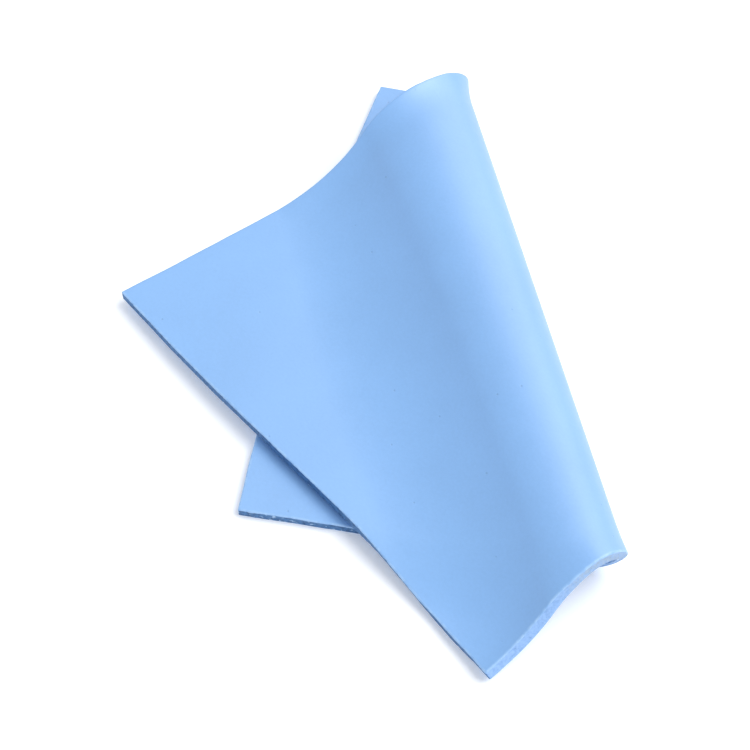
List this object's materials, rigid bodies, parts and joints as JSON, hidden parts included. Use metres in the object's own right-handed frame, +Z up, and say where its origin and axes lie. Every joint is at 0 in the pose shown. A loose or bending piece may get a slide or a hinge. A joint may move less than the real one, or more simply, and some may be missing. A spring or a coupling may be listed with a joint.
{
  "type": "thermal pad sheet",
  "caption": "Soft light-blue silicone thermal pad sheet, square and cut clean, folded over on itself on a slant; trimmed to size it fills the gap between hot parts and a heatsink.",
  "frame": {"origin": "centre of the folded sheet's bounding box on the surface that it lies on", "axes": "+X to the right along the front edge of the sheet's lower layer, +Y backwards along its left edge, +Z up, out of the surface that it lies on"},
  "size_m": [0.0968, 0.1216, 0.0167],
  "materials": {
    "pad_sheet": "matte"
  },
  "bodies": {
    "root": {"pad_sheet": "pad_sheet"}
  },
  "joints": []
}
